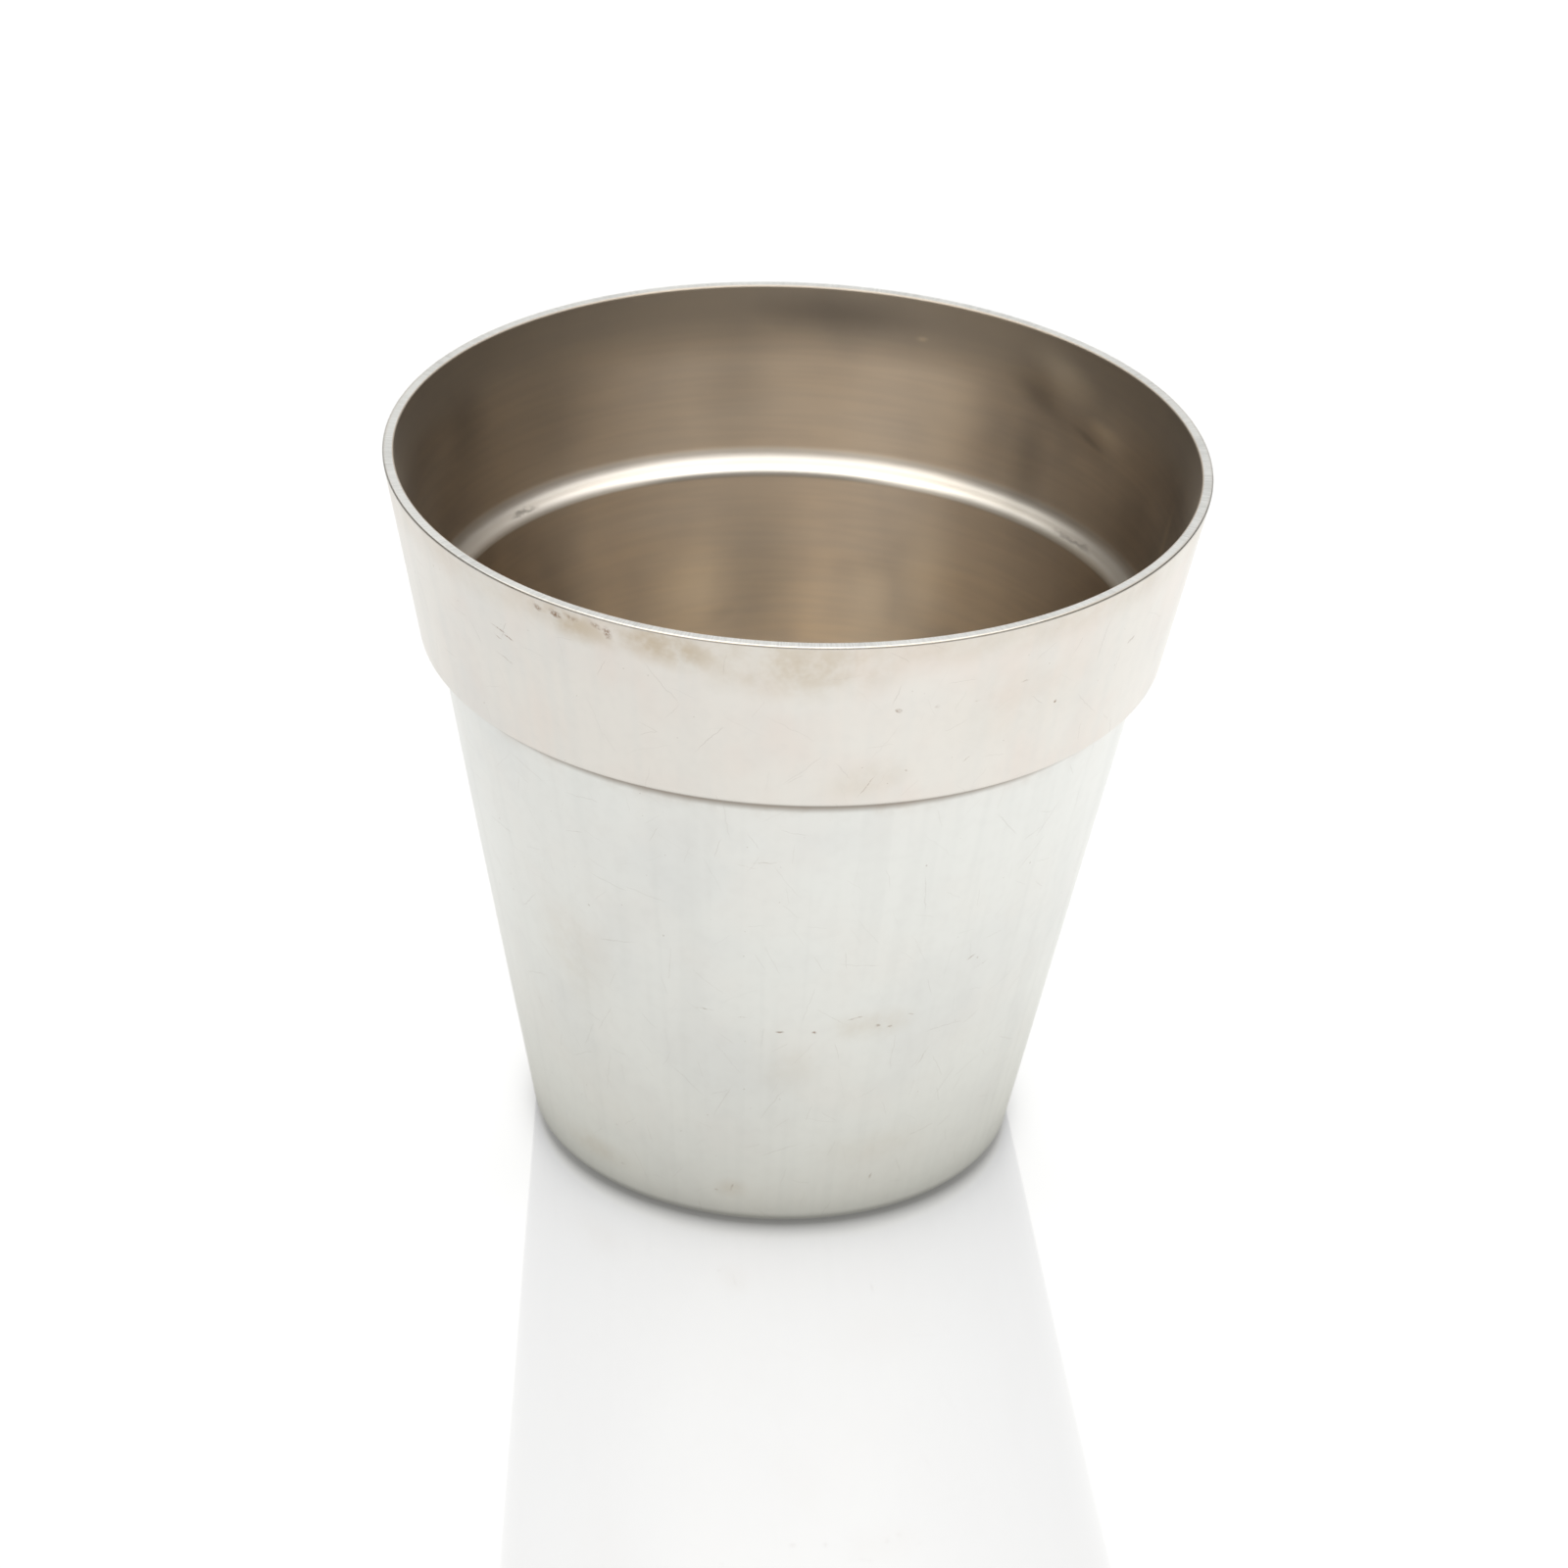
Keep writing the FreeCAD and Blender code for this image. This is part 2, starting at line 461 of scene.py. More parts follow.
# Each mark is a soft oval: degrees to the right of the front, height, half width, half height, lean in
# degrees, the share of it that is evenly covered, strength.
HAZES = [
    (-31.0, HEIGHT - 2.0 * MM, 9.0 * MM, 3.6 * MM, -8.0, 0.1, 0.75),
    (-17.0, HEIGHT - 2.0 * MM, 10.0 * MM, 4.4 * MM, -10.0, 0.1, 0.85),
    (1.0, HEIGHT - 3.0 * MM, 16.0 * MM, 7.0 * MM, 0.0, 0.1, 0.60),
    (12.0, COLLAR_FOOT_Z + 4.5 * MM, 8.0 * MM, 4.0 * MM, 20.0, 0.1, 0.20),
    (34.0, COLLAR_FOOT_Z + 14.0 * MM, 14.0 * MM, 9.0 * MM, 0.0, 0.1, 0.12),
    (19.0, 35.0 * MM, 9.0 * MM, 3.6 * MM, 0.0, 0.1, 0.26),
    (3.0, 28.0 * MM, 8.0 * MM, 6.0 * MM, 0.0, 0.1, 0.12),
    (-42.0, 40.0 * MM, 10.0 * MM, 12.0 * MM, 0.0, 0.1, 0.16),
    (-8.0, 6.0 * MM, 4.0 * MM, 2.2 * MM, 0.0, 0.1, 0.22),
    (24.0, 13.0 * MM, 14.0 * MM, 4.0 * MM, 0.0, 0.1, 0.12),
    (-44.0, 6.0 * MM, 12.0 * MM, 3.0 * MM, 0.0, 0.1, 0.25),
]

SPOTS = [
    (-36.0, HEIGHT - 1.5 * MM, 0.8 * MM, 0.6 * MM, -25.0, 0.1, 0.70),
    (-33.0, HEIGHT - 1.5 * MM, 1.2 * MM, 0.7 * MM, -20.0, 0.2, 0.90),
    (-30.5, HEIGHT - 1.3 * MM, 1.2 * MM, 0.5 * MM, -10.0, 0.0, 0.50),
    (-26.5, HEIGHT - 1.4 * MM, 1.4 * MM, 0.6 * MM, -30.0, 0.0, 0.55),
    (-25.0, HEIGHT - 2.0 * MM, 0.6 * MM, 1.3 * MM, 10.0, 0.1, 0.80),
    (-44.6, HEIGHT - 8.0 * MM, 1.5 * MM, 0.14 * MM, -12.0, 0.3, 0.60),
    (-42.6, HEIGHT - 8.7 * MM, 1.0 * MM, 0.16 * MM, -14.0, 0.3, 0.75),
    (-44.8, HEIGHT - 9.4 * MM, 0.8 * MM, 0.12 * MM, -8.0, 0.3, 0.45),
    (-44.0, HEIGHT - 12.4 * MM, 1.8 * MM, 0.12 * MM, -14.0, 0.3, 0.30),
    (15.5, HEIGHT - 10.5 * MM, 0.5 * MM, 0.35 * MM, -30.0, 0.3, 0.55),
    (21.0, HEIGHT - 10.5 * MM, 0.4 * MM, 0.3 * MM, 0.0, 0.3, 0.20),
    (27.0, HEIGHT - 10.6 * MM, 0.6 * MM, 0.15 * MM, 0.0, 0.3, 0.30),
    (34.5, HEIGHT - 9.2 * MM, 0.7 * MM, 0.15 * MM, 0.0, 0.3, 0.35),
    (41.0, HEIGHT - 14.4 * MM, 0.25 * MM, 0.3 * MM, 0.0, 0.3, 0.80),
    (56.0, HEIGHT - 10.0 * MM, 0.9 * MM, 0.2 * MM, 25.0, 0.3, 0.60),
    (27.0, HEIGHT - 20.0 * MM, 0.8 * MM, 0.12 * MM, 40.0, 0.3, 0.35),
    (12.0, HEIGHT - 22.5 * MM, 2.6 * MM, 0.09 * MM, 62.0, 0.3, 0.40),
    (-2.5, 63.3 * MM, 2.6 * MM, 0.07 * MM, 6.0, 0.3, 0.35),
    (-5.5, 62.4 * MM, 1.8 * MM, 0.06 * MM, -9.0, 0.3, 0.30),
    (38.5, 43.0 * MM, 0.9 * MM, 0.16 * MM, 20.0, 0.3, 0.50),
    (-13.5, 37.2 * MM, 1.8 * MM, 0.13 * MM, 0.0, 0.2, 0.40),
    (-6.0, 36.6 * MM, 0.9 * MM, 0.10 * MM, 0.0, 0.2, 0.35),
    (1.2, 34.5 * MM, 0.9 * MM, 0.20 * MM, 0.0, 0.2, 0.70),
    (7.9, 34.5 * MM, 0.50 * MM, 0.32 * MM, 0.0, 0.2, 0.70),
    (15.7, 36.5 * MM, 1.6 * MM, 0.20 * MM, 8.0, 0.2, 0.50),
    (20.3, 34.7 * MM, 0.6 * MM, 0.30 * MM, 0.0, 0.2, 0.50),
    (22.9, 34.3 * MM, 0.7 * MM, 0.22 * MM, 0.0, 0.2, 0.50),
    (27.0, 35.8 * MM, 0.8 * MM, 0.12 * MM, -20.0, 0.2, 0.35),
    (31.5, 27.4 * MM, 2.3 * MM, 0.09 * MM, 60.0, 0.3, 0.40),
    (30.2, 26.8 * MM, 1.8 * MM, 0.07 * MM, 56.0, 0.3, 0.30),
    (-7.9, 6.2 * MM, 0.9 * MM, 0.30 * MM, 65.0, 0.1, 0.40),
    (-11.5, 5.4 * MM, 0.5 * MM, 0.22 * MM, 0.0, 0.1, 0.35),
    (23.9, 7.4 * MM, 0.8 * MM, 0.30 * MM, 60.0, 0.1, 0.40),
    (-35.4, 5.3 * MM, 0.6 * MM, 0.30 * MM, 0.0, 0.1, 0.30),
]

# These are in degrees to the right of the back. They are painted shade and painted light: bands of
# reflected studio light and the lit and shaded sides of the dent, with a dark cloud near the rim.
INSIDE_PAINTED_SHADE = [
    (5.0, HEIGHT - 3.5 * MM, 14.0 * MM, 4.0 * MM, 0.0, 0.0, 0.58),
    (-6.0, COLLAR_FOOT_Z - 15.0 * MM, 10.0 * MM, 22.0 * MM, 0.0, 0.0, 0.44),
    (-10.0, COLLAR_FOOT_Z + 12.0 * MM, 7.0 * MM, 16.0 * MM, 0.0, 0.0, 0.20),
    (40.0, COLLAR_FOOT_Z + 8.0 * MM, 4.0 * MM, 10.0 * MM, 0.0, 0.0, 0.38),
    (-42.0, COLLAR_FOOT_Z + 12.0 * MM, 8.0 * MM, 12.0 * MM, 0.0, 0.0, 0.24),
    (39.0, HEIGHT - 8.6 * MM, 5.5 * MM, 2.6 * MM, -23.0, 0.0, 0.40),
    (51.0, HEIGHT - 11.3 * MM, 4.0 * MM, 0.9 * MM, -12.0, 0.1, 0.35),
    (-12.0, COLLAR_FOOT_Z - 19.0 * MM, 6.0 * MM, 3.0 * MM, 25.0, 0.0, 0.30),
    (-62.0, COLLAR_FOOT_Z + 16.0 * MM, 6.0 * MM, 9.0 * MM, 0.0, 0.0, 0.30),
    (-53.0, COLLAR_FOOT_Z + 1.4 * MM, 3.4 * MM, 0.20 * MM, 0.0, 0.2, 0.60),
    (55.0, COLLAR_FOOT_Z + 1.35 * MM, 5.5 * MM, 0.20 * MM, 0.0, 0.2, 0.60),
]

INSIDE_PAINTED_LIGHT = [
    (44.5, HEIGHT - 5.0 * MM, 8.0 * MM, 3.6 * MM, -20.0, 0.1, 0.26),
    (54.5, HEIGHT - 9.4 * MM, 4.6 * MM, 1.8 * MM, -10.0, 0.1, 0.34),
    (18.6, HEIGHT - 5.5 * MM, 1.0 * MM, 0.5 * MM, 0.0, 0.1, 0.30),
    (-18.0, COLLAR_FOOT_Z - 15.0 * MM, 7.0 * MM, 6.0 * MM, 0.0, 0.0, 0.35),
    (15.5, COLLAR_FOOT_Z - 17.0 * MM, 6.0 * MM, 10.0 * MM, 0.0, 0.0, 0.30),
    (25.0, COLLAR_FOOT_Z - 12.0 * MM, 8.0 * MM, 16.0 * MM, 0.0, 0.0, 0.34),
    (25.0, COLLAR_FOOT_Z + 10.0 * MM, 7.0 * MM, 12.0 * MM, 0.0, 0.0, 0.16),
    (80.0, COLLAR_FOOT_Z + 12.0 * MM, 1.2 * MM, 6.0 * MM, 0.0, 0.0, 0.30),
]

# cell, half width, share of the cells, seed
LONG_SCRATCHES = (9.0 * MM, 0.09 * MM, 0.8, 0.31)
SHORT_SCRATCHES = (4.5 * MM, 0.07 * MM, 0.5, 0.87)
# cell, radius, share of the cells, seed
WIDE_PITS = (6.0 * MM, 0.22 * MM, 0.12, 0.55)
FINE_PITS = (3.0 * MM, 0.13 * MM, 0.10, 0.21)


# ---------------------------------------------------------------- steel

# a quarter turn lays the brushing round the pot
BRUSHED_ROUND = 0.25
LEAST_ROUGH = 0.285


def steel_output(n, tint, rough, anisotropic, relief=None):
    """Closes a steel material. Its brushing runs round the pot, so highlights spread along the section."""
    tangent = n.add("ShaderNodeTangent", direction_type="RADIAL", axis="Z")
    shader = n.add(
        "ShaderNodeBsdfPrincipled",
        {"Base Color": tint, "Metallic": 1.0, "Roughness": n.math("MAXIMUM", rough, LEAST_ROUGH),
         "Anisotropic": anisotropic, "Anisotropic Rotation": BRUSHED_ROUND, "Tangent": tangent.outputs[0]},
    )
    if relief is not None:
        n.give(shader.inputs["Normal"], relief)
    n.output(shader.outputs[0])


def relief_from(n, height):
    """Surface relief from a height in metres."""
    return n.add("ShaderNodeBump", {"Strength": 1.0, "Distance": 1.0, "Height": height}).outputs[0]


# ---------------------------------------------------------------- the outside

BODY_STEEL = colour(0.675, 0.672, 0.648)
COLLAR_STEEL = colour(0.665, 0.635, 0.595)
ROSY_STEEL = colour(0.66, 0.58, 0.53)
CLOUDED_STEEL = colour(0.56, 0.56, 0.56)
FALLS_STEEL = colour(0.60, 0.60, 0.58)
MOTTLED_STEEL = colour(0.50, 0.48, 0.46)
TAN_TARNISH = colour(0.46, 0.375, 0.27)
COLLAR_STAIN = colour(0.42, 0.34, 0.28)
# dirt and painted shade in the crease under the collar
CREASE_DIRT_AND_SHADE = colour(0.21, 0.17, 0.135)
SCRATCHED = colour(0.40, 0.36, 0.33)
PITTED = colour(0.30, 0.24, 0.20)
SPECK = colour(0.20, 0.115, 0.065)

# grains per metre, detail, roughness, seed
CLOUDS = (42.0, 3.0, 0.62, 3.1)
ROSES = (75.0, 2.0, 0.60, 12.0)
MOTTLE = (620.0, 1.0, 0.60, 2.2)
RAGGED = (190.0, 3.5, 0.72, 8.0)
CRUMBS = (2600.0, 1.0, 0.60, 4.4)
# scale round the pot, scale along the section, detail, roughness, seed
FALLS = (24.0, 16.0, 1.2, 0.6, 1.7)

# the noise's values where a layer starts and where it is full, and its strength at both
CLOUDED = (0.48, 0.72, 0.0, 0.30)
FALLEN = (0.45, 0.70, 0.0, 0.20)
MOTTLED = (0.40, 0.75, 0.0, 0.07)
HAZED = (0.3, 0.7, 0.1, 0.32)
PATCHED = (0.32, 0.62, 0.30, 1.0)
STAINED = (0.40, 0.70, 0.0, 0.25)
CRUMBLED = (0.36, 0.56, 0.25, 1.0)

ROSE_STRENGTH = 0.10
COLLAR_ROSE_STRENGTH = 0.35
CREASE_DIRT_AND_SHADE_STRENGTH = 0.80
SCRATCH_STRENGTH = 0.36
PIT_STRENGTH = 0.45

OUTSIDE_ROUGH = 0.34
OUTSIDE_BRUSHING = 0.3


def cloudy_polish(n, at, clouds, falls):
    """The clean metal: rosy and cloudy patches, falls that run down the body, fine mottling."""
    on_collar = n.span(at["z"], COLLAR_FOOT_Z - 0.2 * MM, COLLAR_FOOT_Z + 0.2 * MM)
    rosy = grain(n, at, *ROSES)
    mottle = grain(n, at, *MOTTLE)
    warmth = n.times(n.span(rosy, 0.42, 0.70), n.plus(ROSE_STRENGTH, on_collar, COLLAR_ROSE_STRENGTH))
    tint = n.mix(on_collar, BODY_STEEL, COLLAR_STEEL)
    tint = n.mix(warmth, tint, ROSY_STEEL)
    tint = n.mix(n.span(clouds, *CLOUDED), tint, CLOUDED_STEEL)
    tint = n.mix(n.span(falls, *FALLEN), tint, FALLS_STEEL)
    return n.mix(n.span(mottle, *MOTTLED), tint, MOTTLED_STEEL)


def tarnished(n, at, tint, ragged):
    """Tan tarnish: a thin haze all round below the lip, and some patches."""
    below_lip = n.span(at["z"], HEIGHT - 6 * MM, HEIGHT - 0.5 * MM)
    haze = n.times(below_lip, n.span(ragged, *HAZED))
    patches = n.times(marks(n, at, HAZES), n.span(ragged, *PATCHED))
    return n.mix(n.math("MAXIMUM", haze, patches), tint, TAN_TARNISH)


def dirty_and_shaded_below_collar(n, at, tint, ragged):
    """Dirt packed under the collar together with painted shade, darkening the collar's edge above it and
    the wall just below, and a stain on the wall below it.
    """
    z = at["z"]
    drop = n.math("SUBTRACT", COLLAR_FOOT_Z, z)
    stain = n.times(n.span(drop, 4.0 * MM, 1.5 * MM), n.math("LESS_THAN", z, COLLAR_FOOT_Z))
    stain = n.times(stain, n.span(ragged, *STAINED))
    below = n.span(z, COLLAR_FOOT_Z - 2.4 * MM, COLLAR_FOOT_Z - 1.1 * MM)
    edge = n.span(z, COLLAR_FOOT_Z + 0.55 * MM, COLLAR_FOOT_Z + 0.1 * MM)
    tint = n.mix(stain, tint, COLLAR_STAIN)
    # painted shade mixed with dirt: the band at the crease under the collar is darkened
    return n.mix(n.times(below, edge, CREASE_DIRT_AND_SHADE_STRENGTH), tint, CREASE_DIRT_AND_SHADE)


def worn(n, at, tint, lines):
    """Scratches, pits and the single specks."""
    holes = n.math("MAXIMUM", pits(n, at, *WIDE_PITS), pits(n, at, *FINE_PITS))
    specks = n.times(marks(n, at, SPOTS), n.span(grain(n, at, *CRUMBS), *CRUMBLED))
    tint = n.mix(n.times(lines, SCRATCH_STRENGTH), tint, SCRATCHED)
    tint = n.mix(n.times(holes, PIT_STRENGTH), tint, PITTED)
    return n.mix(specks, tint, SPECK)


def outside_steel():
    """Polished, handled and faintly tarnished outside."""
    material, n = empty_material("steel_outside")
    at = wall_coordinates(n)
    clouds = grain(n, at, *CLOUDS)
    falls = drawn_grain(n, at, *FALLS)
    ragged = grain(n, at, *RAGGED)
    lines = n.math("MAXIMUM", hairlines(n, at, *LONG_SCRATCHES), hairlines(n, at, *SHORT_SCRATCHES))

    tint = cloudy_polish(n, at, clouds, falls)
    tint = tarnished(n, at, tint, ragged)
    tint = dirty_and_shaded_below_collar(n, at, tint, ragged)
    tint = worn(n, at, tint, lines)

    rough = n.swayed(OUTSIDE_ROUGH, clouds, 0.12)
    rough = n.swayed(rough, falls, 0.08)
    rough = n.plus(rough, lines, 0.10)
    steel_output(n, tint, rough, OUTSIDE_BRUSHING)
    return material


# ---------------------------------------------------------------- the inside

HIGH_STRAW = colour(0.56, 0.48, 0.395)
DEEP_STRAW = colour(0.56, 0.48, 0.385)
HONEY = colour(0.68, 0.56, 0.41)
SMOKE = colour(0.40, 0.36, 0.31)
RIM_BROWN = colour(0.29, 0.26, 0.222)
BRUSHED_DARK = colour(0.34, 0.31, 0.28)
# the rubbed ledge with painted light, brighter at the left and dimmer at the right; painted shade along its
# lower border; a darker root
LEDGE_RUBBED_PAINTED_BRIGHT_LEFT = colour(0.94, 0.90, 0.845)
LEDGE_RUBBED_PAINTED_DIM_RIGHT = colour(0.69, 0.66, 0.605)
LEDGE_PAINTED_SHADE = colour(0.20, 0.185, 0.165)
LEDGE_ROOT_DARK = colour(0.30, 0.27, 0.24)
# tints of the painted light and painted shade inside the pot
PAINTED_LIGHT_TINT = colour(0.85, 0.72, 0.54)
PAINTED_SHADE_TINT = colour(0.20, 0.18, 0.16)

# grains per metre, detail, roughness, seed
INSIDE_CLOUDS = (38.0, 3.0, 0.6, 6.6)
# scale round the pot, scale along the section, detail, roughness, seed
STREAKS = (2.4, 260.0, 1.0, 0.6, 5.3)
BRUSH = (4.0, 1100.0, 0.0, 0.6, 2.9)

# the noise's values where a layer starts and where it is full, and its strength at both
HONEYED = (0.38, 0.66)
SMOKED = (0.52, 0.32, 0.0, 0.42)
STREAKED = (0.35, 0.65, 0.0, 0.10)
BRUSHED = (0.35, 0.65, 0.0, 0.11)

LEDGE_LOW = COLLAR_FOOT_Z + 0.4 * MM
LEDGE_HIGH = COLLAR_FOOT_Z + 3.6 * MM
LEDGE_ROOT_Z = COLLAR_FOOT_Z + 2.3 * MM
LEDGE_ROOT_STRENGTH = 0.52
RIM_STRENGTH = 0.62
BOTTOM_DARKENING = 0.55
BRUSH_DEPTH = 1.5e-6

INSIDE_ROUGH = 0.33
INSIDE_BRUSHING = 0.92
RIM_UNBRUSHED = 0.7


def straw_tarnish(n, at, clouds, near_rim, streaks, brush):
    """Straw-coloured metal, blotched with honey and smoke, browner at the rim, with brush marks."""
    deep = n.span(at["z"], COLLAR_FOOT_Z + 3 * MM, COLLAR_FOOT_Z - 25 * MM)
    blotch = n.times(n.span(clouds, *HONEYED), n.span(deep, 0.0, 1.0, 0.3, 0.9))
    tint = n.mix(deep, HIGH_STRAW, DEEP_STRAW)
    tint = n.mix(blotch, tint, HONEY)
    tint = n.mix(n.span(clouds, *SMOKED), tint, SMOKE)
    tint = n.mix(n.times(near_rim, RIM_STRENGTH), tint, RIM_BROWN)
    tint = n.mix(n.span(streaks, *STREAKED), tint, BRUSHED_DARK)
    return n.mix(n.span(brush, *BRUSHED), tint, BRUSHED_DARK)


def rubbed_ledge_with_painted_light(n, at, tint, rubbed):
    """The ledge is rubbed bright, with painted light that is brighter at the left and dimmer at the right.
    Painted shade darkens its lower border, most in the middle, and it is darker in its root.
    """
    side = n.vector("DOT_PRODUCT", at["outward"], TO_THE_RIGHT)
    # painted light: the rubbed ledge is brighter to the left and dimmer to the right
    polish = n.mix(n.span(side, -0.95, 0.95), LEDGE_RUBBED_PAINTED_BRIGHT_LEFT, LEDGE_RUBBED_PAINTED_DIM_RIGHT)
    off_middle = n.math("ABSOLUTE", n.math("ADD", side, 0.1))
    # painted shade along the ledge's lower border, strongest in the middle
    lower_shade = n.near(at["z"], LEDGE_LOW, 0.55 * MM, 0.1 * MM)
    lower_shade = n.times(lower_shade, n.span(off_middle, 0.22, 0.45, 0.75, 0.2))
    # the ledge's root is darker
    root = n.near(at["z"], LEDGE_ROOT_Z, 1.1 * MM, 0.2 * MM)
    tint = n.mix(rubbed, tint, polish)
    tint = n.mix(lower_shade, tint, LEDGE_PAINTED_SHADE)
    return n.mix(n.times(root, LEDGE_ROOT_STRENGTH), tint, LEDGE_ROOT_DARK)


def damped_mirror(n, at):
    """What the collar's wall gives back, less where it is only mirrored by the wall across from it."""
    kept = n.span(at["z"], COLLAR_FOOT_Z + 5.0 * MM, COLLAR_FOOT_Z + 9.0 * MM, 0.95, 0.6)
    return n.math("MAXIMUM", kept, n.add("ShaderNodeLightPath").outputs["Is Camera Ray"])


def inside_steel():
    """Brushed round and round, with a straw-coloured tarnish that deepens down the pot."""
    material, n = empty_material("steel_inside")
    at = wall_coordinates(n, from_back=True)
    z = at["z"]
    clouds = grain(n, at, *INSIDE_CLOUDS)
    streaks = drawn_grain(n, at, *STREAKS)
    brush = drawn_grain(n, at, *BRUSH)
    near_rim = n.span(z, HEIGHT - 11 * MM, HEIGHT - 3 * MM)
    bottom = n.span(z, 7.0 * MM, 3.0 * MM)
    rubbed = n.times(
        n.span(z, LEDGE_LOW - 0.4 * MM, LEDGE_LOW),
        n.span(z, LEDGE_HIGH, LEDGE_HIGH - 1.2 * MM),
    )

    tint = straw_tarnish(n, at, clouds, near_rim, streaks, brush)
    tint = rubbed_ledge_with_painted_light(n, at, tint, rubbed)
    # painted light and painted shade: reflected bands and the dent's lit and shaded sides
    tint = n.mix(marks(n, at, INSIDE_PAINTED_LIGHT), tint, PAINTED_LIGHT_TINT)
    tint = n.mix(marks(n, at, INSIDE_PAINTED_SHADE), tint, PAINTED_SHADE_TINT)
    # darker towards the bottom of the inside
    tint = n.scale(tint, n.plus(1.0, bottom, -BOTTOM_DARKENING))
    tint = n.scale(tint, damped_mirror(n, at))

    rough = n.swayed(INSIDE_ROUGH, clouds, 0.10)
    rough = n.swayed(rough, streaks, 0.06)
    rough = n.plus(rough, near_rim, 0.14)
    rough = n.plus(rough, rubbed, 0.10)
    rough = n.plus(rough, bottom, 0.15)
    brushed = n.plus(INSIDE_BRUSHING, near_rim, -RIM_UNBRUSHED)
    steel_output(n, tint, rough, brushed, relief_from(n, n.times(brush, BRUSH_DEPTH)))
    return material


# ---------------------------------------------------------------- the lip

LIGHT_LIP = colour(0.53, 0.53, 0.52)
DARK_LIP = colour(0.40, 0.40, 0.39)
WORN_LIP = colour(0.60, 0.60, 0.585)
LIP_BORDER = colour(0.41, 0.375, 0.33)

# scale round the pot, scale along the section, detail, roughness, seed
GRINDING = (260.0, 300.0, 1.0, 0.7, 7.7)
# grains per metre, detail, roughness, seed
LIP_WEAR = (90.0, 3.0, 0.5, 1.1)

LIP_ROUGH = 0.36


def lip_steel():
    """Ground lip: fine marks that cross it, and a darker outer edge, strongest at the front."""
    material, n = empty_material("steel_lip")
    at = wall_coordinates(n)
    grinding = drawn_grain(n, at, *GRINDING)
    wear = grain(n, at, *LIP_WEAR)
    border = n.span(at["away"], RIM_RADIUS - 0.42 * MM, RIM_RADIUS - 0.20 * MM)
    border = n.times(border, n.span(wear, 0.35, 0.6, 0.6, 0.95))
    # the outer edge is darker towards the front
    toward_front = n.span(n.vector("DOT_PRODUCT", at["outward"], TO_THE_FRONT), 0.1, 0.8, 0.5, 1.0)

    tint = n.mix(n.span(grinding, 0.3, 0.7), LIGHT_LIP, DARK_LIP)
    tint = n.mix(n.span(wear, 0.35, 0.65, 0.0, 0.4), tint, WORN_LIP)
    tint = n.mix(n.times(border, toward_front), tint, LIP_BORDER)
    steel_output(n, tint, n.swayed(LIP_ROUGH, grinding, 0.15), 0.0)
    return material


# ---------------------------------------------------------------- table

TABLE_REACH = 6.0
TABLE_SIDES = 96
TABLE_HOLE = 29.0 * MM

TABLE_MATT = colour(0.12, 0.12, 0.12)
TABLE_GLOW = 0.88
# the gloss mirrors TABLE_GLOSS times as much as a plain coat of this index
TABLE_IOR = 1.45
TABLE_GLOSS = 5.0
TABLE_ROUGH = 0.03

# tilt of the table's mirror image, as slopes
LEAN_ASIDE = 0.060
LEAN_AWAY = 0.075

# the shade round the foot: wide in the pot's mirror, narrow at the foot, and a halo on the camera's side
SHADE_REACH = 24.0 * MM
SHADE_DEPTH = 0.42
CONTACT_REACH = 1.8 * MM
CONTACT_DEPTH = 0.32
CONTACT_SEEN_DEPTH = 0.62
HALO_REACH = 11.0 * MM
HALO_DEPTH = 0.22
HALO_FRONT = 28.0 * MM

# in the pot's mirror the table grows brighter from the left to the right: from, to, level, level
MIRRORED_RISE = (-120.0 * MM, 80.0 * MM, 1.14, 1.30)
MIRRORED_TABLE = colour(0.99, 1.0, 0.99)
MIRRORED_SHADE = colour(1.0, 1.0, 0.93)


def camera_sides(n):
    """The level directions to the camera's right and towards it. The studio's light turns with them."""
    right = n.add(
        "ShaderNodeVectorTransform", {0: TO_THE_RIGHT},
        vector_type="VECTOR", convert_from="CAMERA", convert_to="WORLD",
    )
    right = n.vector("NORMALIZE", n.vector("MULTIPLY", right.outputs[0], (1.0, 1.0, 0.0)))
    return right, n.vector("CROSS_PRODUCT", right, UP)


def mirrored_table(n, place, right, shade, contact):
    """The table as the pot mirrors it: a bright sheet, shaded round the foot and dimmer at the left."""
    level = n.plus(1.0, shade, -SHADE_DEPTH)
    level = n.plus(level, contact, -CONTACT_DEPTH)
    level = n.times(level, n.span(n.vector("DOT_PRODUCT", place, right), *MIRRORED_RISE))
    hue = n.mix(shade, MIRRORED_TABLE, MIRRORED_SHADE)
    return n.add("ShaderNodeEmission", {"Color": hue, "Strength": level}).outputs[0]


